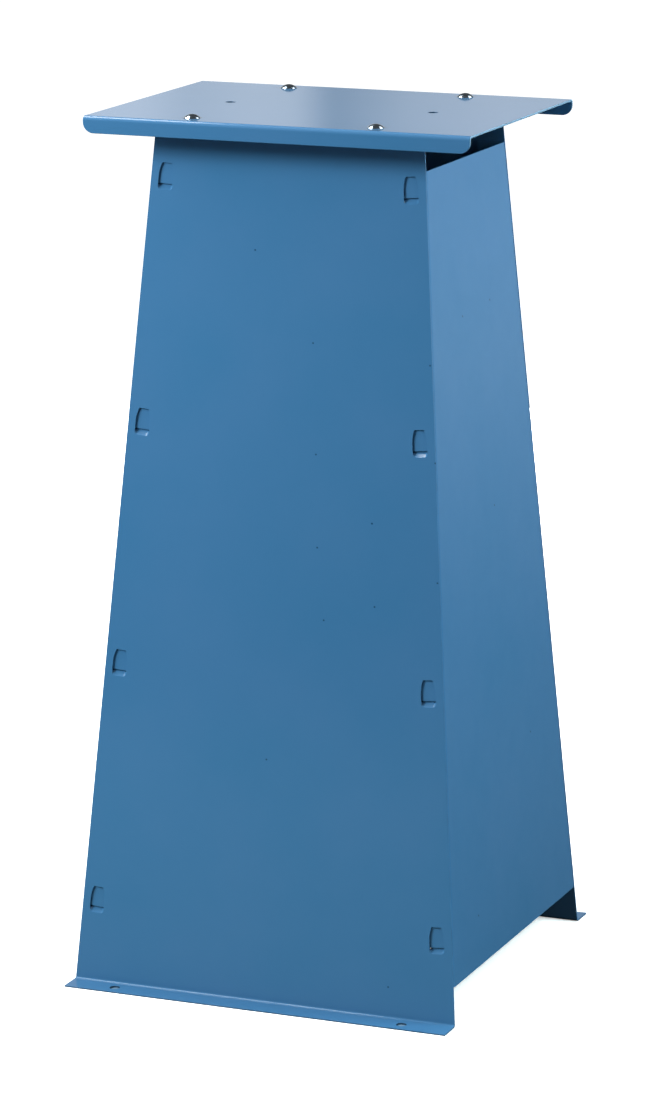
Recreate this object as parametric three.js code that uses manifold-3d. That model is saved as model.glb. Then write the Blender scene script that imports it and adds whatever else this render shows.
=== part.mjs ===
// Bench grinder stand: a tapered pedestal of four hooked sheet-steel panels with a bolted top plate.
// Millimetres, +Z up, the front faces -Y, the origin is on the floor under the middle of the stand.

import * as THREE from "three";
import { ConvexGeometry } from "three/addons/geometries/ConvexGeometry.js";
import { mergeVertices } from "three/addons/utils/BufferGeometryUtils.js";
import Module from "manifold-3d";

const wasm = await Module();
wasm.setup();

// Stand
const standHeight = 800; // floor to the top face of the plate
const panelSheet = 1.5; // thickness of the four panels
const plateSheet = 2; // thickness of the top plate
const baseWidth = 375; // front panel across its foot
const headWidth = 257; // front panel across its head
const baseDepth = 340; // over the front and rear panels at the floor
const headDepth = 199; // over the front and rear panels under the plate
const sheetGap = 0.3; // clearance between sheets that lie on each other

// Front and rear panels
const flangeReach = 25; // foot and head flanges, out from the panel's face
const flangeHoleReach = 13.5; // from the panel's face to the line of flange holes
const footHole = 9; // diameter
const footHoleInset = 46; // from the end of the foot flange
const panelBend = 2; // inside radius

// Side panels
const sideFloorGap = 36; // from the floor to the lower edge
const sideHeadGap = 36; // from the upper edge to the plate
const sideProud = 0.3; // outside the edges of the front and rear panels
const sideFlange = 27.3; // width of the flanges behind the front and rear panels
const sideBend = 0.8; // inside radius

// Hooks pressed in from the front and rear panels
const hookCount = 4; // in each column
const hookInset = 14.5; // from the edge of the panel to the middle of the hook
const lowestHook = 65; // from the floor to the foot of the lowest hook
const highestHook = 65.5; // from the foot of the highest hook to the plate
const hookWidth = 14;
const hookHeight = 24.5; // of the window that the hook leaves
const hookTaperRun = 2.5; // the upper corners curve back by this much
const hookTaperRise = 12; // over this height
const hookCorner = 3; // radius of the window's lower corners
const hookRamp = 4.2; // height of the slope that carries the hook inwards
const hookEndRun = 1.6; // width of the slope's drawn ends
const hookPlay = 0.6; // between a hook and the sides of its slot
const slotCorner = 3; // radius of a slot's upper corners, which rest on the ends of the slope

// Top plate
const plateSideOverhang = 56.5; // beyond the head of the front panel
const lipClearance = 9.5; // between a head flange and the lip in front of it
const lipHeight = 15.5; // from the top face down
const lipCorner = 10; // radius of the lower corners of the lips
const plateBend = 2; // inside radius
const grinderHole = 9; // diameter
const grinderHoleSpacing = 198;

// Bolts through the plate and the head flanges
const boltInset = 40.5; // from the end of the head flange
const boltDiameter = 6;
const boltLength = 16; // under the head
const boltHead = 16; // diameter
const boltHeadHeight = 3.6;
const boltTip = 0.6; // chamfer at the end
const neckExtra = 0.4; // width of the square neck beyond the bolt's diameter
const neckClearance = 0.25; // around the square neck
const washerBoreGap = 0.2; // between the bolt and a washer
const washerDiameter = 12;
const washerThickness = 1.6;
const springDiameter = 11;
const springThickness = 1.6;
const springSplit = 1.2; // width of the gap in a spring washer
const nutAcrossFlats = 10;
const nutHeight = 5;
const nutBoreGap = 0.1; // between the bolt and the nut
const nutChamfer = 0.7;

// Facets of round shapes
const bendSteps = 3;
const cornerSteps = 4;
const roundSteps = 24;

// Sizes that follow from those above
const headLevel = standHeight - plateSheet; // top of the head flanges, underside of the plate
const faceLean = (baseDepth - headDepth) / 2 / headLevel; // front and rear panels, run over rise
const sideLean = (baseWidth - headWidth) / 2 / headLevel; // panel edges and side panels, run over rise
const faceAngle = Math.atan(faceLean);
const edgeAngle = Math.atan(sideLean * Math.cos(faceAngle)); // how far a panel's edges slant in its plane
const panelRun = panelSheet / Math.cos(faceAngle); // thickness of a leaning panel, measured level
const plateWidth = headWidth + 2 * plateSideOverhang;
const plateDepth = headDepth + 2 * (flangeReach + lipClearance + plateSheet);
const hookPitch = (headLevel - highestHook - lowestHook) / (hookCount - 1);
const hookDepth = 2 * (panelSheet + sheetGap); // face of the panel to the face of the pressed-in hook
const rampMiter = Math.tan(Math.atan(hookDepth / hookRamp) / 2); // per thickness, at the foot of the slope
const endMiter = Math.tan(Math.atan(hookDepth / hookEndRun) / 2); // per thickness, at its ends
const hookTop = hookHeight + hookRamp - Math.hypot(hookRamp, hookDepth);
const slotHalf = hookWidth / 2 + panelSheet * endMiter + hookPlay;
const slotDrop = slotCorner - Math.sqrt(slotCorner ** 2 - (slotCorner - hookPlay) ** 2); // over a hook's shoulder
const slotTop = hookRamp + slotDrop + sheetGap; // above the foot of its hook
const slotHeight = hookTop + panelSheet * rampMiter + 2 * hookPlay; // lets the whole hook through
const boltX = headWidth / 2 - boltInset;
const boltY = headDepth / 2 + flangeHoleReach;
const neckWidth = boltDiameter + neckExtra;
const neckHole = Math.SQRT2 * neckWidth + 2 * neckClearance; // round hole that clears the square neck
const cutMargin = 5; // how far a cutting shape runs past what it cuts

const paint = { color: 0x41749b, roughness: 0.38, metalness: 0.0 };
const zinc = { color: 0xc9ced2, roughness: 0.22, metalness: 1.0 };

// Closed geometry to a solid that can be cut and joined
function solid(geometry) {
  const bare = geometry.clone();
  bare.deleteAttribute("normal");
  bare.deleteAttribute("uv");
  const merged = mergeVertices(bare, 1e-4);
  const mesh = new wasm.Mesh({
    numProp: 3,
    vertProperties: new Float32Array(merged.attributes.position.array),
    triVerts: new Uint32Array(merged.index.array),
  });
  return new wasm.Manifold(mesh);
}

function toGeometry(body) {
  const { vertProperties, triVerts } = body.getMesh();
  const geometry = new THREE.BufferGeometry();
  geometry.setAttribute("position", new THREE.BufferAttribute(new Float32Array(vertProperties), 3));
  geometry.setIndex(new THREE.BufferAttribute(new Uint32Array(triVerts), 1));
  return geometry;
}

function part(name, geometry, finish) {
  geometry.deleteAttribute("normal");
  geometry.computeVertexNormals();
  const mesh = new THREE.Mesh(geometry, new THREE.MeshStandardMaterial(finish));
  mesh.name = name;
  return mesh;
}

function basis(...axes) {
  return new THREE.Matrix4().makeBasis(...axes.map((axis) => new THREE.Vector3(...axis)));
}

// Side view (Y across, Z up) carried along X, centred
function alongX(shape, length, curveSegments) {
  const geometry = new THREE.ExtrudeGeometry(shape, { depth: length, bevelEnabled: false, curveSegments });
  geometry.translate(0, 0, -length / 2);
  return geometry.applyMatrix4(basis([0, 1, 0], [0, 0, 1], [1, 0, 0]));
}

// Front view (X across, Z up) carried along Y, centred
function alongY(shape, length, curveSegments) {
  const geometry = new THREE.ExtrudeGeometry(shape, { depth: length, bevelEnabled: false, curveSegments });
  geometry.translate(0, 0, -length / 2);
  return geometry.applyMatrix4(basis([1, 0, 0], [0, 0, 1], [0, -1, 0]));
}

function outline(points) {
  return new THREE.Shape(points.map(([x, y]) => new THREE.Vector2(x, y)));
}

function box(width, depth, height, x, y, z) {
  return new THREE.BoxGeometry(width, depth, height).translate(x, y, z);
}

function rod(diameter, height, x, y, z) {
  const geometry = new THREE.CylinderGeometry(diameter / 2, diameter / 2, height, roundSteps);
  return geometry.rotateX(Math.PI / 2).translate(x, y, z);
}

// Ring round the Z axis, standing on z = 0
function ring(outer, inner, height) {
  const edge = [[inner, 0], [outer, 0], [outer, height], [inner, height], [inner, 0]];
  const profile = edge.map(([diameter, z]) => new THREE.Vector2(diameter / 2, z));
  return new THREE.LatheGeometry(profile, roundSteps).rotateX(Math.PI / 2);
}

// Section through the front panel: foot flange, leaning face, head flange
function panelSection() {
  const foot = -baseDepth / 2;
  const head = -headDepth / 2;
  const outerBend = panelBend + panelSheet;
  const bendY = (z) => foot + faceLean * z - panelBend / Math.cos(faceAngle);
  const footZ = panelSheet + panelBend;
  const headZ = headLevel - panelSheet - panelBend;
  const shape = new THREE.Shape();
  shape.moveTo(foot - flangeReach, 0);
  shape.lineTo(bendY(footZ), 0);
  shape.absarc(bendY(footZ), footZ, outerBend, -Math.PI / 2, -faceAngle, false);
  shape.absarc(bendY(headZ), headZ, outerBend, -faceAngle, Math.PI / 2, false);
  shape.lineTo(head - flangeReach, headLevel);
  shape.lineTo(head - flangeReach, headLevel - panelSheet);
  shape.absarc(bendY(headZ), headZ, panelBend, Math.PI / 2, -faceAngle, true);
  shape.absarc(bendY(footZ), footZ, panelBend, -faceAngle, -Math.PI / 2, true);
  shape.lineTo(foot - flangeReach, panelSheet);
  return shape;
}

// Window that a hook leaves in its panel above the slope, seen from outside, foot of the hook at 0
function hookWindow() {
  const half = hookWidth / 2;
  const shoulder = hookHeight - hookTaperRise;
  const bulge = hookHeight - hookTaperRise / 2;
  const shape = new THREE.Shape();
  shape.moveTo(-half, hookRamp);
  shape.lineTo(half, hookRamp);
  shape.lineTo(half, shoulder);
  shape.quadraticCurveTo(half, bulge, half - hookTaperRun, hookHeight);
  shape.lineTo(-half + hookTaperRun, hookHeight);
  shape.quadraticCurveTo(-half, bulge, -half, shoulder);
  return shape;
}

// Outline that trims the hook to its tapered tip
function hookTip() {
  const tip = hookWidth / 2 - hookTaperRun;
  const shoulder = hookTop - hookTaperRise;
  return outline([
    [-slotHalf, -hookHeight],
    [slotHalf, -hookHeight],
    [slotHalf, shoulder],
    [tip, hookTop],
    [-tip, hookTop],
    [-slotHalf, shoulder],
  ]);
}

// Edge of the pressed slope at a depth behind the panel's face, on its outside or, through the sheet, its back
function slopeEdge(depth, thickness, top) {
  const share = depth / hookDepth;
  const inset = share * hookEndRun - thickness * endMiter;
  const half = hookWidth / 2 - inset;
  const corner = hookCorner - inset;
  const foot = share * hookRamp - thickness * rampMiter;
  const shape = new THREE.Shape();
  shape.moveTo(-half, top);
  shape.lineTo(-half, foot + corner);
  shape.absarc(-half + corner, foot + corner, corner, Math.PI, 1.5 * Math.PI, false);
  shape.absarc(half - corner, foot + corner, corner, -Math.PI / 2, 0, false);
  shape.lineTo(half, top);
  return shape.getPoints(cornerSteps / 2).map(({ x, y }) => new THREE.Vector3(x, y, -depth - thickness));
}

// Block inside the pressed slope, from a depth down to the hook
function slopeBlock(depth, thickness, top) {
  const edges = [...slopeEdge(depth, thickness, top), ...slopeEdge(hookDepth, thickness, top)];
  return solid(new ConvexGeometry(edges));
}

function hookBody() {
  const pressed = slopeBlock(-panelSheet / 2, panelSheet, hookHeight);
  const hollow = slopeBlock(-panelSheet, 0, hookHeight);
  const reach = hookDepth + cutMargin;
  const above = box(4 * hookWidth, hookHeight, reach, 0, hookRamp + hookHeight / 2, reach / 2 - hookDepth);
  const through = { depth: 2 * reach, bevelEnabled: false };
  const tip = new THREE.ExtrudeGeometry(hookTip(), through).translate(0, 0, cutMargin - 2 * reach);
  return toGeometry(pressed.subtract(hollow).subtract(solid(above)).intersect(solid(tip)));
}

// What a hook takes out of its panel: the window and the hollow of the slope
function hookOpening() {
  const window = new THREE.ExtrudeGeometry(hookWindow(), {
    depth: panelSheet + 2 * cutMargin,
    bevelEnabled: false,
    curveSegments: cornerSteps,
  }).translate(0, 0, -panelSheet - cutMargin);
  return toGeometry(solid(window).add(slopeBlock(-panelSheet, 0, hookHeight / 2)));
}

// Slot in a side panel's flange, its upper edge over the slope of the hook that it hangs on
function hookSlot() {
  const corner = slotHalf - slotCorner;
  const shape = new THREE.Shape();
  shape.moveTo(-slotHalf, slotTop - slotHeight);
  shape.lineTo(slotHalf, slotTop - slotHeight);
  shape.absarc(corner, slotTop - slotCorner, slotCorner, 0, Math.PI / 2, false);
  shape.absarc(-corner, slotTop - slotCorner, slotCorner, Math.PI / 2, Math.PI, false);
  const reach = hookDepth + panelSheet;
  const through = { depth: reach, bevelEnabled: false, curveSegments: cornerSteps };
  return new THREE.ExtrudeGeometry(shape, through).translate(0, 0, -reach);
}

// Places of the hooks on the front panel: X across, Z of the foot
function hookPlaces() {
  const places = [];
  for (let row = 0; row < hookCount; row += 1) {
    const z = lowestHook + row * hookPitch;
    const x = baseWidth / 2 - sideLean * z - hookInset;
    places.push([-x, z], [x, z]);
  }
  return places;
}

// Lays a shape on the front panel, along the nearer edge
function onPanel(geometry, x, z) {
  const placed = geometry.clone().rotateZ(Math.sign(x) * edgeAngle).rotateX(Math.PI / 2 - faceAngle);
  return placed.translate(x, -baseDepth / 2 + faceLean * z, z);
}

function panel() {
  const half = baseWidth / 2;
  const headHalf = headWidth / 2;
  const front = outline([[-half, 0], [half, 0], [headHalf, headLevel], [-headHalf, headLevel]]);
  const strip = solid(alongX(panelSection(), baseWidth + 2 * cutMargin, bendSteps));
  let body = strip.intersect(solid(alongY(front, 2 * baseDepth, 1)));

  const footY = -baseDepth / 2 - flangeHoleReach;
  const holeHeight = 2 * (panelSheet + cutMargin);
  for (const side of [-1, 1]) {
    body = body.subtract(solid(rod(footHole, holeHeight, side * (half - footHoleInset), footY, 0)));
    body = body.subtract(solid(rod(neckHole, holeHeight, side * boltX, -boltY, headLevel)));
  }

  const opening = hookOpening();
  const hook = hookBody();
  for (const [x, z] of hookPlaces()) {
    body = body.subtract(solid(onPanel(opening, x, z)));
    body = body.add(solid(onPanel(hook, x, z)));
  }
  return toGeometry(body);
}

// Section through the right side panel at floor level: a face with a flange turned in at each end
function sideSection() {
  const x = baseWidth / 2 + sideProud;
  const y = baseDepth / 2 - panelRun - sheetGap;
  const outerBend = sideBend + panelSheet;
  const bendX = x - outerBend;
  const bendY = y - outerBend;
  const end = x - sideFlange;
  const quarter = Math.PI / 2;
  const shape = new THREE.Shape();
  shape.moveTo(end, -y);
  shape.lineTo(bendX, -y);
  shape.absarc(bendX, -bendY, outerBend, -quarter, 0, false);
  shape.absarc(bendX, bendY, outerBend, 0, quarter, false);
  shape.lineTo(end, y);
  shape.lineTo(end, y - panelSheet);
  shape.absarc(bendX, bendY, sideBend, quarter, 0, true);
  shape.absarc(bendX, -bendY, sideBend, 0, -quarter, true);
  shape.lineTo(end, -y + panelSheet);
  return shape;
}

// Leans an upright solid inwards, so that it follows the taper of the stand
function leanIn(geometry) {
  const place = geometry.attributes.position;
  for (let i = 0; i < place.count; i += 1) {
    const z = place.getZ(i);
    place.setX(i, place.getX(i) - Math.sign(place.getX(i)) * sideLean * z);
    place.setY(i, place.getY(i) - Math.sign(place.getY(i)) * faceLean * z);
  }
  return geometry;
}

function sidePanel() {
  const height = headLevel - sideHeadGap - sideFloorGap;
  const upright = new THREE.ExtrudeGeometry(sideSection(), {
    depth: height,
    bevelEnabled: false,
    curveSegments: bendSteps,
  }).translate(0, 0, sideFloorGap);
  let body = solid(leanIn(upright));

  const slot = hookSlot();
  for (const [x, z] of hookPlaces()) {
    const cut = onPanel(slot, x, z);
    if (x < 0) {
      cut.rotateZ(Math.PI); // the rear panel turns its left hooks to this side
    }
    body = body.subtract(solid(cut));
  }
  return toGeometry(body);
}

// Section through the top plate: flat top with a lip bent down at the front and the rear
function plateSection() {
  const y = plateDepth / 2;
  const lip = standHeight - lipHeight;
  const outerBend = plateBend + plateSheet;
  const bendY = y - outerBend;
  const bendZ = standHeight - outerBend;
  const quarter = Math.PI / 2;
  const shape = new THREE.Shape();
  shape.moveTo(y - plateSheet, lip);
  shape.lineTo(y, lip);
  shape.absarc(bendY, bendZ, outerBend, 0, quarter, false);
  shape.absarc(-bendY, bendZ, outerBend, quarter, Math.PI, false);
  shape.lineTo(-y, lip);
  shape.lineTo(-y + plateSheet, lip);
  shape.absarc(-bendY, bendZ, plateBend, Math.PI, quarter, true);
  shape.absarc(bendY, bendZ, plateBend, quarter, 0, true);
  return shape;
}

// Front view of the plate, with the lower corners of the lips rounded
function plateFront() {
  const half = plateWidth / 2;
  const lip = standHeight - lipHeight;
  const top = standHeight + cutMargin;
  const shape = new THREE.Shape();
  shape.moveTo(-half + lipCorner, lip);
  shape.lineTo(half - lipCorner, lip);
  shape.absarc(half - lipCorner, lip + lipCorner, lipCorner, -Math.PI / 2, 0, false);
  shape.lineTo(half, top);
  shape.lineTo(-half, top);
  shape.absarc(-half + lipCorner, lip + lipCorner, lipCorner, Math.PI, 1.5 * Math.PI, false);
  return shape;
}

function topPlate() {
  const strip = solid(alongX(plateSection(), plateWidth + 2 * cutMargin, bendSteps));
  let body = strip.intersect(solid(alongY(plateFront(), 2 * plateDepth, cornerSteps)));
  const holeHeight = 2 * (plateSheet + cutMargin);
  const neck = neckWidth + 2 * neckClearance;
  for (const side of [-1, 1]) {
    body = body.subtract(solid(rod(grinderHole, holeHeight, side * grinderHoleSpacing / 2, 0, standHeight)));
    for (const end of [-1, 1]) {
      body = body.subtract(solid(box(neck, neck, holeHeight, side * boltX, end * boltY, standHeight)));
    }
  }
  return toGeometry(body);
}

// Round-headed bolt, its head standing on z = 0
function bolt() {
  const crown = (boltHead ** 2 / 4 + boltHeadHeight ** 2) / (2 * boltHeadHeight);
  const spread = Math.asin(boltHead / 2 / crown);
  const radius = boltDiameter / 2;
  const profile = [
    new THREE.Vector2(0, -boltLength),
    new THREE.Vector2(radius - boltTip, -boltLength),
    new THREE.Vector2(radius, -boltLength + boltTip),
    new THREE.Vector2(radius, 0),
  ];
  const domeSteps = 2 * cornerSteps;
  for (let i = 0; i <= domeSteps; i += 1) {
    const angle = spread * (1 - i / domeSteps);
    const height = crown * Math.cos(angle) - crown + boltHeadHeight;
    profile.push(new THREE.Vector2(crown * Math.sin(angle), Math.max(height, 0)));
  }
  profile[profile.length - 1].x = 0;
  const turned = new THREE.LatheGeometry(profile, roundSteps).rotateX(Math.PI / 2);
  const neckEnd = -plateSheet - panelSheet;
  const neckRoot = boltHeadHeight / 2;
  const neck = box(neckWidth, neckWidth, neckRoot - neckEnd, 0, 0, (neckRoot + neckEnd) / 2);
  return toGeometry(solid(turned).add(solid(neck)));
}

function springWasher() {
  const bore = boltDiameter + 2 * washerBoreGap;
  const reach = springDiameter;
  const split = box(reach, springSplit, 2 * springThickness, reach / 2, 0, springThickness / 2);
  return toGeometry(solid(ring(springDiameter, bore, springThickness)).subtract(solid(split)));
}

function nut() {
  const corner = nutAcrossFlats / Math.sqrt(3);
  const prism = new THREE.CylinderGeometry(corner, corner, nutHeight, 6).rotateX(Math.PI / 2);
  prism.translate(0, 0, nutHeight / 2);
  const rim = corner - nutChamfer;
  const rise = nutChamfer * Math.tan(Math.PI / 6);
  const edge = [
    [0, 0],
    [rim, 0],
    [corner, rise],
    [corner, nutHeight - rise],
    [rim, nutHeight],
    [0, nutHeight],
  ];
  const turned = new THREE.LatheGeometry(edge.map(([radius, z]) => new THREE.Vector2(radius, z)), roundSteps);
  const bore = rod(boltDiameter + 2 * nutBoreGap, 2 * nutHeight, 0, 0, nutHeight / 2);
  const body = solid(prism).intersect(solid(turned.rotateX(Math.PI / 2)));
  return toGeometry(body.subtract(solid(bore)));
}

const stand = new THREE.Group();
stand.name = "bench_grinder_stand";

const frontPanel = part("front_panel", panel(), paint);
const rearPanel = part("rear_panel", panel(), paint);
rearPanel.rotation.z = Math.PI;
const rightPanel = part("right_side_panel", sidePanel(), paint);
const leftPanel = part("left_side_panel", sidePanel(), paint);
leftPanel.rotation.z = Math.PI;
stand.add(part("top_plate", topPlate(), paint), frontPanel, rearPanel, leftPanel, rightPanel);

// One bolt with its washers and nut at each corner of the plate
const washerLevel = headLevel - panelSheet - washerThickness;
const springLevel = washerLevel - springThickness;
const nutLevel = springLevel - nutHeight;
const washerBore = boltDiameter + 2 * washerBoreGap;
for (const [endName, end] of [["front", -1], ["rear", 1]]) {
  for (const [sideName, side] of [["left", -1], ["right", 1]]) {
    const corner = `${endName}_${sideName}`;
    const stack = new THREE.Group();
    stack.position.set(side * boltX, end * boltY, 0);
    const topBolt = part(`top_bolt_${corner}`, bolt(), zinc);
    topBolt.position.z = standHeight;
    const washer = part(`flat_washer_${corner}`, ring(washerDiameter, washerBore, washerThickness), zinc);
    washer.position.z = washerLevel;
    const spring = part(`spring_washer_${corner}`, springWasher(), zinc);
    spring.position.z = springLevel;
    const topNut = part(`top_nut_${corner}`, nut(), zinc);
    topNut.position.z = nutLevel;
    stack.add(topBolt, washer, spring, topNut);
    stand.add(stack);
  }
}

export default stand;
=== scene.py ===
"""Looks for the bench grinder stand, in metres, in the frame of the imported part."""

import math

import bpy
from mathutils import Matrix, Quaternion, Vector

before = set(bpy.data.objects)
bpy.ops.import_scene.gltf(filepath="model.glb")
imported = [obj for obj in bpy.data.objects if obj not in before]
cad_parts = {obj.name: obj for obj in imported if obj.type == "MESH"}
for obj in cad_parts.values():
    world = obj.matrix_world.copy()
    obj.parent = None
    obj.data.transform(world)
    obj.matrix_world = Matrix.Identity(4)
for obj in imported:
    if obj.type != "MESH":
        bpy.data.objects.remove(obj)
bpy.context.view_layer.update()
scene = bpy.context.scene

# Camera of the photograph
CAMERA_PLACE = Vector((1.5605, -3.8684, 1.3505))
CAMERA_AIM = Vector((-0.36579, 0.90312, -0.22488))
CAMERA_ROLL = -0.0012  # turn about the line of sight, in radians
FOCAL_SHARE = 4618.1 / 1100  # focal length over the height of the picture
SENSOR = 36.0  # longer side of the sensor, in millimetres
SIGHT = 200.0  # how far the camera sees

# Blue powder coat, as linear colours
BLUE = (0.041, 0.136, 0.272, 1.0)
DEEP_BLUE = (0.031, 0.129, 0.260, 1.0)
# painted highlight: lighter paint on the plate's cut ends
PAINTED_END_HIGHLIGHT = (0.12, 0.23, 0.34, 1.0)
SPECK = (0.002, 0.030, 0.080, 1.0)
# painted shade on the hole walls and a painted contact shadow along the feet's bottom edge
PAINTED_SHADE = (0.004, 0.028, 0.062, 1.0)

# Bright zinc plating, as linear colours
ZINC = (0.52, 0.64, 0.74, 1.0)
DULL_ZINC = (0.40, 0.50, 0.58, 1.0)

# Noises: scale, detail and roughness
PAINT_CLOUDS = (9.0, 4.0, 0.5)
PAINT_GLOSS = (34.0, 5.0, 0.6)
PAINT_WAVES = (7.0, 0.0, 0.5)
PAINT_PEEL = (620.0, 1.5, 0.5)
ZINC_CLOUDS = (240.0, 3.0, 0.5)
ZINC_GLOSS = (600.0, 4.0, 0.5)
ZINC_GRAIN = (1500.0, 2.0, 0.5)
FLOOR_GRAIN = (3.0, 3.0, 0.5)

# Values of a noise that are spread over a change of colour or gloss
PAINT_CLOUD_VALUES = (0.25, 0.75)
ZINC_CLOUD_VALUES = (0.35, 0.7)
MIDDLE_VALUES = (0.3, 0.7)  # for the gloss of paint and zinc and for the floor

# Gloss and relief of the two finishes
PAINT_ROUGHNESS = (0.67, 0.73)
PAINT_COAT_ROUGHNESS = 0.09
ZINC_ROUGHNESS = (0.12, 0.24)
WAVE_HEIGHT = 0.00004
PEEL_HEIGHT = 0.000004
GRAIN_HEIGHT = 0.000004

# Cut ends of the plate, painted lighter as a painted highlight
PLATE_END = 0.1846  # half the plate's width, less the rounding of its edge
PLATE_LOW = 0.7  # only the plate is this high and this wide

# Specks in the paint
SPECK_SPACING = 0.055
SPECK_RADIUS = 0.0011
SPECK_CORE = 0.5  # share of the radius that is fully dark
SPECK_SHARE = 0.14  # of the places where one could be
SPECK_ACROSS = (1.0, 0.7, 0.0)  # the two directions that lay out the specks on every panel
SPECK_ALONG = (0.0, 0.6, 1.0)

# Holes through the sheet, with painted shade on their walls
HOLE_WALL = 0.0047  # radius within which the painted shade lies
GRINDER_HOLE_X = 0.099
FOOT_HOLE_X, FOOT_HOLE_Y = 0.1415, 0.1835
FOOT_SHADE_HEIGHTS = (0.0003, 0.0010)  # heights between which the painted shade along the floor fades
BLEND = 0.0002  # width over which the painted shade and the painted highlight fade

# Radius of cut edges, on the plate, the front and rear panels and the fasteners
PLATE_EDGE = 0.0005
PAINT_EDGE = 0.0002
ZINC_EDGE = 0.00015

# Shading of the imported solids
WELD = 0.00001  # points nearer than this become one
FLAT_WITHIN = math.radians(0.5)  # faces that turn less than this become one
ROUND_FROM = math.radians(18)  # edges that turn more than this are rounded
ROUND_STEPS = 2
CRISP_FROM = math.radians(30)  # edges of the side panels that turn more than this stay sharp
LARGE_FACE_WEIGHT = 60  # 50 is neutral, and more than that favours large faces in the shading

# Floor
FLOOR_HALF = 40.0  # half its width
FLOOR_TONE = (0.95, 0.98)  # its darkest and lightest colour towards the camera
FLOOR_ROUGHNESS = 0.9
FLOOR_BOUNCE = (0.09, 0.18, 0.22, 1.0)  # share of light that it throws back in front of the stand
FLOOR_BOUNCE_REAR = (0.03, 0.03, 0.03, 1.0)  # under the stand and behind it
FLOOR_BOUNCE_TURN = (-0.25, 0.05)  # where the one passes into the other, from front to rear
FLOOR_NEAR_GLOW = 0.35  # keeps the floor white beside the stand, for the camera
FLOOR_NEAR = (0.5, 2.5)  # distances over which that glow rises to 1
FLOOR_FAR_GLOW = 0.29  # far behind the stand, for all but the camera
FLOOR_FAR = (1.5, 4.0)  # distances behind the stand over which that glow rises
FLOOR_IN_HOLE = (0.10, 0.18, 0.27, 1.0)  # the shaded floor that shows through the holes in the feet
FLOOR_IN_HOLE_END = (1.3 * HOLE_WALL, 1.4 * HOLE_WALL)  # radii between which that shade ends

# Backdrop
BACKDROP = 0.80  # brightness of the backdrop where it is brightest
BACKDROP_SIDES = (0.2, 0.7)  # backward share of a direction, from outside the backdrop to inside it
BACKDROP_TOP = (0.2, 0.4)  # sine of the height, from inside the backdrop to above it
STUDIO_DIM = 0.08  # brightness of the rest of the studio

# Folds of the backdrop from left to right: place across it, share of its brightness
FOLDS_ENDS = (-0.46, -0.36)  # sideways over backwards
FOLDS = (
    (0.07, 0.96), (0.20, 0.72), (0.36, 0.84), (0.48, 0.82), (0.57, 0.30), (0.76, 0.62), (1.0, 0.77),
)

# Lamps
STAND_AIM = Vector((0.0, 0.0, 0.75))  # where a lamp points
FOOT_AIM = Vector((0.0, 0.0, 0.1))
NEUTRAL = (1.0, 1.0, 1.0)  # colour of a lamp
COOL = (0.82, 1.0, 1.03)

WHITE = (1.0, 1.0, 1.0, 1.0)


# Node helpers

def add(tree, kind, settings=None, inputs=None):
    """A new node, its inputs set to values or joined to other nodes' outputs."""
    made = tree.nodes.new(kind)
    for name, value in (settings or {}).items():
        setattr(made, name, value)
    for name, value in (inputs or {}).items():
        if isinstance(value, bpy.types.NodeSocket):
            tree.links.new(value, made.inputs[name])
        else:
            made.inputs[name].default_value = value
    return made


def object_place(tree):
    return add(tree, "ShaderNodeTexCoord").outputs["Object"]


def split(tree, vector):
    """The outputs X, Y and Z of a vector."""
    return add(tree, "ShaderNodeSeparateXYZ", inputs={0: vector}).outputs


def maths(tree, operation, *values):
    return add(tree, "ShaderNodeMath", {"operation": operation}, dict(enumerate(values))).outputs[0]


def vector_maths(tree, operation, output, *values):
    made = add(tree, "ShaderNodeVectorMath", {"operation": operation}, dict(enumerate(values)))
    return made.outputs[output]


def noise(tree, place, scale, detail, roughness):
    inputs = {"Vector": place, "Scale": scale, "Detail": detail, "Roughness": roughness}
    return add(tree, "ShaderNodeTexNoise", inputs=inputs).outputs["Fac"]


def remap(tree, value, given, wanted=(0.0, 1.0)):
    """Carries a value from one range to another, and holds it at the ends."""
    low, high = given
    to_low, to_high = wanted
    inputs = {"Value": value, "From Min": low, "From Max": high, "To Min": to_low, "To Max": to_high}
    return add(tree, "ShaderNodeMapRange", inputs=inputs).outputs["Result"]


def mix_value(tree, factor, first, second):
    inputs = {0: factor, 2: first, 3: second}
    return add(tree, "ShaderNodeMix", {"data_type": "FLOAT"}, inputs).outputs[0]


def mix_colour(tree, factor, first, second):
    inputs = {0: factor, 6: first, 7: second}
    return add(tree, "ShaderNodeMix", {"data_type": "RGBA"}, inputs).outputs[2]


def bump(tree, height, distance, below=None):
    inputs = {"Height": height, "Distance": distance, "Strength": 1.0}
    if below is not None:
        inputs["Normal"] = below
    return add(tree, "ShaderNodeBump", inputs=inputs).outputs["Normal"]


def camera_sees(tree):
    """1 for what the camera sees itself, else 0."""
    return add(tree, "ShaderNodeLightPath").outputs["Is Camera Ray"]


def new_material(name):
    material = bpy.data.materials.new(name)
    material.use_nodes = True
    return material, material.node_tree, material.node_tree.nodes["Principled BSDF"]


# Materials

def hole_reach(tree, place, x, y):
    """Distance from the axis of a hole that both sides and both ends of the stand have."""
    quarter = vector_maths(tree, "ABSOLUTE", "Vector", place)
    flat = vector_maths(tree, "MULTIPLY", "Vector", quarter, (1.0, 1.0, 0.0))
    return vector_maths(tree, "DISTANCE", "Value", flat, (x, y, 0.0))


def painted_shade(tree, place):
    """Painted shade: 1 on the walls of the grinder's and foot's holes and along the feet's bottom edge, else
    0.
    """
    shade_mask = remap(tree, split(tree, place)["Z"], FOOT_SHADE_HEIGHTS, (1.0, 0.0))
    for x, y in ((GRINDER_HOLE_X, 0.0), (FOOT_HOLE_X, FOOT_HOLE_Y)):
        reach = hole_reach(tree, place, x, y)
        wall = remap(tree, reach, (HOLE_WALL, HOLE_WALL + BLEND), (1.0, 0.0))
        shade_mask = maths(tree, "MAXIMUM", shade_mask, wall)
    return shade_mask


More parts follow.
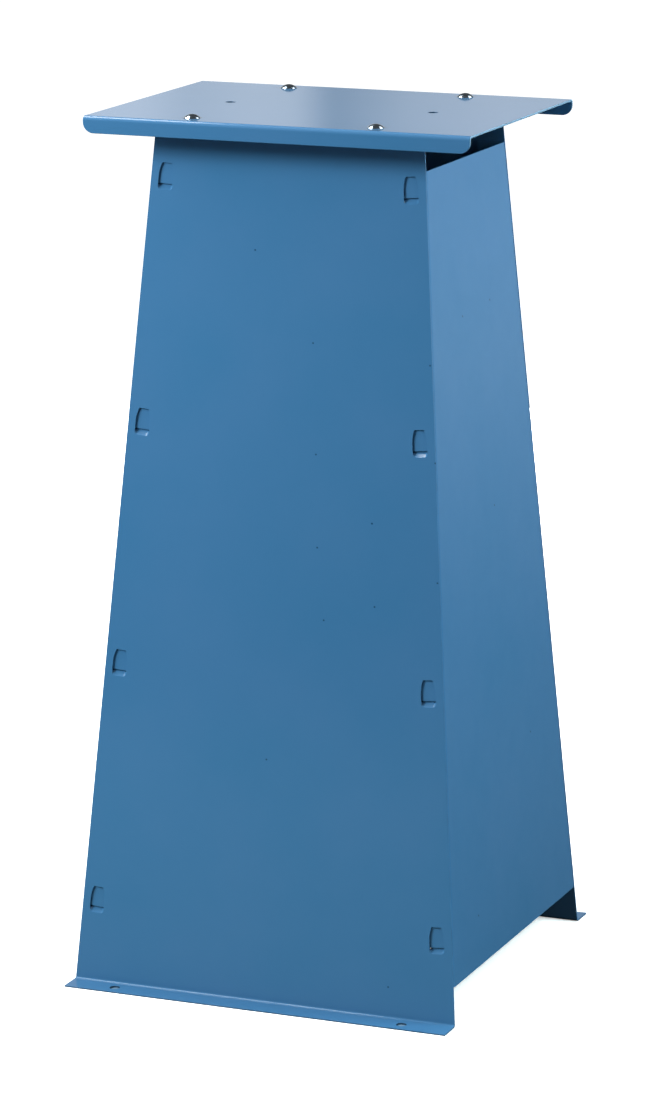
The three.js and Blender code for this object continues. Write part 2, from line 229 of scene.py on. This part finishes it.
def painted_end_highlight(tree, place):
    """Painted highlight: 1 on the plate's cut left and right ends, else 0."""
    parts = split(tree, place)
    side = maths(tree, "ABSOLUTE", parts["X"])
    end = remap(tree, side, (PLATE_END - BLEND, PLATE_END))
    high = maths(tree, "GREATER_THAN", parts["Z"], PLATE_LOW)
    return maths(tree, "MULTIPLY", end, high)


def specks(tree, place):
    """1 on a few small specks in the paint, else 0."""
    across = vector_maths(tree, "DOT_PRODUCT", "Value", place, SPECK_ACROSS)
    along = vector_maths(tree, "DOT_PRODUCT", "Value", place, SPECK_ALONG)
    spread = add(tree, "ShaderNodeCombineXYZ", inputs={0: across, 1: along}).outputs["Vector"]
    inputs = {"Vector": spread, "Scale": 1.0 / SPECK_SPACING}
    cells = add(tree, "ShaderNodeTexVoronoi", {"voronoi_dimensions": "2D"}, inputs)
    rim = SPECK_RADIUS / SPECK_SPACING
    dot = remap(tree, cells.outputs["Distance"], (SPECK_CORE * rim, rim), (1.0, 0.0))
    drawn = add(tree, "ShaderNodeSeparateColor", inputs={0: cells.outputs["Color"]}).outputs["Red"]
    kept = maths(tree, "LESS_THAN", drawn, SPECK_SHARE)
    return maths(tree, "MULTIPLY", dot, kept)


def blue_paint():
    """Semi-gloss powder coat: colour clouds, painted highlight on cut ends, specks, painted shade, orange
    peel.
    """
    material, tree, surface = new_material("blue_powder_coat")
    place = object_place(tree)
    clouds = remap(tree, noise(tree, place, *PAINT_CLOUDS), PAINT_CLOUD_VALUES)
    colour = mix_colour(tree, clouds, BLUE, DEEP_BLUE)
    # painted highlight on the plate's cut ends
    colour = mix_colour(tree, painted_end_highlight(tree, place), colour, PAINTED_END_HIGHLIGHT)
    colour = mix_colour(tree, specks(tree, place), colour, SPECK)
    # painted shade on the hole walls and along the feet's bottom edge
    colour = mix_colour(tree, painted_shade(tree, place), colour, PAINTED_SHADE)
    tree.links.new(colour, surface.inputs["Base Color"])
    gloss = remap(tree, noise(tree, place, *PAINT_GLOSS), MIDDLE_VALUES, PAINT_ROUGHNESS)
    tree.links.new(gloss, surface.inputs["Roughness"])
    waves = bump(tree, noise(tree, place, *PAINT_WAVES), WAVE_HEIGHT)
    peel = bump(tree, noise(tree, place, *PAINT_PEEL), PEEL_HEIGHT, waves)
    tree.links.new(peel, surface.inputs["Normal"])
    surface.inputs["IOR"].default_value = 1.5
    surface.inputs["Coat Weight"].default_value = 1.0
    surface.inputs["Coat Roughness"].default_value = PAINT_COAT_ROUGHNESS
    return material


def bright_zinc():
    """Bright plating: slightly uneven colour and gloss, with a fine grain."""
    material, tree, surface = new_material("bright_zinc")
    place = object_place(tree)
    clouds = remap(tree, noise(tree, place, *ZINC_CLOUDS), ZINC_CLOUD_VALUES)
    tree.links.new(mix_colour(tree, clouds, ZINC, DULL_ZINC), surface.inputs["Base Color"])
    gloss = remap(tree, noise(tree, place, *ZINC_GLOSS), MIDDLE_VALUES, ZINC_ROUGHNESS)
    tree.links.new(gloss, surface.inputs["Roughness"])
    grain = bump(tree, noise(tree, place, *ZINC_GRAIN), GRAIN_HEIGHT)
    tree.links.new(grain, surface.inputs["Normal"])
    surface.inputs["Metallic"].default_value = 1.0
    return material


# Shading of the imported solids

def shade_smooth(tree, domain, inputs):
    made = add(tree, "GeometryNodeSetShadeSmooth", {"domain": domain}, inputs)
    return made.outputs["Geometry"]


def smooth_skin(name, sharp_from=None):
    """Joins a solid's faces along shared edges and shades them smooth, up to an angle if one is given."""
    tree = bpy.data.node_groups.new(name, "GeometryNodeTree")
    for way in ("INPUT", "OUTPUT"):
        tree.interface.new_socket("Geometry", in_out=way, socket_type="NodeSocketGeometry")
    start = tree.nodes.new("NodeGroupInput")
    end = tree.nodes.new("NodeGroupOutput")
    inputs = {"Geometry": start.outputs["Geometry"], "Distance": WELD}
    skin = add(tree, "GeometryNodeMergeByDistance", inputs=inputs).outputs["Geometry"]
    for domain in ("FACE", "EDGE"):
        skin = shade_smooth(tree, domain, {"Geometry": skin})
    if sharp_from is not None:
        turn = add(tree, "GeometryNodeInputMeshEdgeAngle").outputs["Unsigned Angle"]
        inputs = {0: turn, 1: sharp_from}
        sharp = add(tree, "FunctionNodeCompare", {"operation": "GREATER_THAN"}, inputs).outputs["Result"]
        inputs = {"Geometry": skin, "Selection": sharp, "Shade Smooth": False}
        skin = shade_smooth(tree, "EDGE", inputs)
    tree.links.new(skin, end.inputs["Geometry"])
    return tree


def dress(piece, material, skin, edge):
    """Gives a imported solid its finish, smooth bends and, where an edge radius is given, rounded edges."""
    piece.data.materials.clear()
    piece.data.materials.append(material)
    piece.modifiers.new("skin", "NODES").node_group = skin
    flats = piece.modifiers.new("flats", "DECIMATE")
    flats.decimate_type = "DISSOLVE"
    flats.angle_limit = FLAT_WITHIN
    if edge is not None:
        rounds = piece.modifiers.new("rounds", "BEVEL")
        rounds.width = edge
        rounds.segments = ROUND_STEPS
        rounds.limit_method = "ANGLE"
        rounds.angle_limit = ROUND_FROM
        rounds.use_clamp_overlap = False
        rounds.loop_slide = False
    shade = piece.modifiers.new("shade", "WEIGHTED_NORMAL")
    shade.weight = LARGE_FACE_WEIGHT
    shade.keep_sharp = edge is None


# Studio

def place_round(azimuth, elevation, distance, centre):
    """A point seen from the centre at an azimuth, counted from the front to the right, and an elevation."""
    a = math.radians(azimuth)
    e = math.radians(elevation)
    away = Vector((math.sin(a) * math.cos(e), -math.cos(a) * math.cos(e), math.sin(e)))
    return centre + away * distance


def softbox(name, azimuth, elevation, distance, size, power, mirrored, aim=STAND_AIM, colour=NEUTRAL):
    """A soft lamp, whose image shows in glossy surfaces only if it is mirrored."""
    lamp = bpy.data.lights.new(name, "AREA")
    lamp.shape = "RECTANGLE"
    lamp.size, lamp.size_y = size
    lamp.energy = power
    lamp.color = colour
    made = bpy.data.objects.new(name, lamp)
    made.location = place_round(azimuth, elevation, distance, aim)
    made.rotation_mode = "QUATERNION"
    made.rotation_quaternion = (aim - made.location).to_track_quat("-Z", "Y")
    made.visible_glossy = mirrored
    scene.collection.objects.link(made)


def floor_material():
    """White to the camera, dim and bluish where it lights the stand, shaded under the holes in the feet."""
    material, tree, surface = new_material("pale_floor")
    place = object_place(tree)
    seen = camera_sees(tree)
    grain = remap(tree, noise(tree, place, *FLOOR_GRAIN), MIDDLE_VALUES, FLOOR_TONE)
    pale = add(tree, "ShaderNodeCombineColor", inputs={"Red": grain, "Green": grain, "Blue": grain})
    backward = split(tree, place)["Y"]
    rearward = remap(tree, backward, FLOOR_BOUNCE_TURN)
    bounce = mix_colour(tree, rearward, FLOOR_BOUNCE, FLOOR_BOUNCE_REAR)
    tone = mix_colour(tree, seen, bounce, pale.outputs["Color"])
    reach = hole_reach(tree, place, FOOT_HOLE_X, FOOT_HOLE_Y)
    open_floor = remap(tree, reach, FLOOR_IN_HOLE_END)
    colour = mix_colour(tree, open_floor, FLOOR_IN_HOLE, tone)
    tree.links.new(colour, surface.inputs["Base Color"])
    distance = vector_maths(tree, "LENGTH", "Value", place)
    shown_glow = remap(tree, distance, FLOOR_NEAR, (FLOOR_NEAR_GLOW, 1.0))
    shown_glow = maths(tree, "MULTIPLY", shown_glow, open_floor)
    back_glow = remap(tree, backward, FLOOR_FAR, (0.0, FLOOR_FAR_GLOW))
    glow = mix_value(tree, seen, back_glow, shown_glow)
    tree.links.new(glow, surface.inputs["Emission Strength"])
    surface.inputs["Emission Color"].default_value = WHITE
    surface.inputs["Roughness"].default_value = FLOOR_ROUGHNESS
    surface.inputs["Specular IOR Level"].default_value = 0.0
    return material


def studio_floor():
    """A plain pale floor, which is no part of the object."""
    mesh = bpy.data.meshes.new("floor")
    half = FLOOR_HALF
    corners = [(-half, -half, 0), (half, -half, 0), (half, half, 0), (-half, half, 0)]
    mesh.from_pydata(corners, [], [(0, 1, 2, 3)])
    floor = bpy.data.objects.new("floor", mesh)
    scene.collection.objects.link(floor)
    mesh.materials.append(floor_material())


def studio_world():
    """A bright backdrop low behind the stand in a dim studio. The camera sees plain white."""
    world = bpy.data.worlds.new("studio")
    world.use_nodes = True
    tree = world.node_tree
    way = split(tree, add(tree, "ShaderNodeTexCoord").outputs["Generated"])
    behind = remap(tree, way["Y"], BACKDROP_SIDES)
    low = remap(tree, way["Z"], BACKDROP_TOP, (1.0, 0.0))
    share = maths(tree, "MULTIPLY", behind, low)
    across = maths(tree, "DIVIDE", way["X"], way["Y"])
    folds = add(tree, "ShaderNodeValToRGB", inputs={"Fac": remap(tree, across, FOLDS_ENDS)})
    stops = folds.color_ramp.elements
    while len(stops) < len(FOLDS):
        stops.new(0.5)  # the loop below sets its place
    for stop, (at, tone) in zip(stops, FOLDS):
        stop.position = at
        stop.color = (tone, tone, tone, 1.0)
    share = maths(tree, "MULTIPLY", share, folds.outputs["Color"])
    lit = remap(tree, share, (0.0, 1.0), (STUDIO_DIM, BACKDROP))
    strength = mix_value(tree, camera_sees(tree), lit, 1.0)
    background = tree.nodes["Background"]
    tree.links.new(strength, background.inputs["Strength"])
    background.inputs["Color"].default_value = WHITE
    scene.world = world


def camera():
    data = bpy.data.cameras.new("photograph")
    data.sensor_width = SENSOR
    data.lens = SENSOR * FOCAL_SHARE
    data.clip_end = SIGHT
    made = bpy.data.objects.new("photograph", data)
    made.location = CAMERA_PLACE
    made.rotation_mode = "QUATERNION"
    roll = Quaternion((0.0, 0.0, 1.0), CAMERA_ROLL)
    made.rotation_quaternion = CAMERA_AIM.to_track_quat("-Z", "Y") @ roll
    scene.collection.objects.link(made)
    scene.camera = made


# The dressed part
paint = blue_paint()
zinc = bright_zinc()
skin = smooth_skin("smooth_skin")
crisp_skin = smooth_skin("crisp_skin", CRISP_FROM)
for name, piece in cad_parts.items():
    if name.endswith("side_panel"):
        dress(piece, paint, crisp_skin, None)
    elif name.endswith("panel"):
        dress(piece, paint, skin, PAINT_EDGE)
    elif name == "top_plate":
        dress(piece, paint, skin, PLATE_EDGE)
    else:
        dress(piece, zinc, skin, ZINC_EDGE)

studio_floor()
studio_world()

# Lamps: azimuth and elevation in degrees, distance and size in metres, power in watts
softbox("key", -45, 23.5, 2.7, (1.2, 0.85), 121, mirrored=False)
softbox("fill", 62, 10, 2.5, (1.2, 1.2), 8, mirrored=True)
softbox("right", 96, 23, 2.0, (0.9, 0.8), 67, mirrored=False, colour=COOL)
softbox("rear", 188, -8, 2.7, (1.2, 0.75), 60, mirrored=False)
softbox("left_high", -88, 52, 1.9, (1.0, 0.9), 26, mirrored=True)
softbox("left_low", -70, 46, 1.6, (0.5, 0.5), 8, mirrored=False, aim=FOOT_AIM)
softbox("right_high", 134, 48, 1.9, (0.8, 0.8), 8, mirrored=True)

camera()
scene.view_settings.view_transform = "Standard"
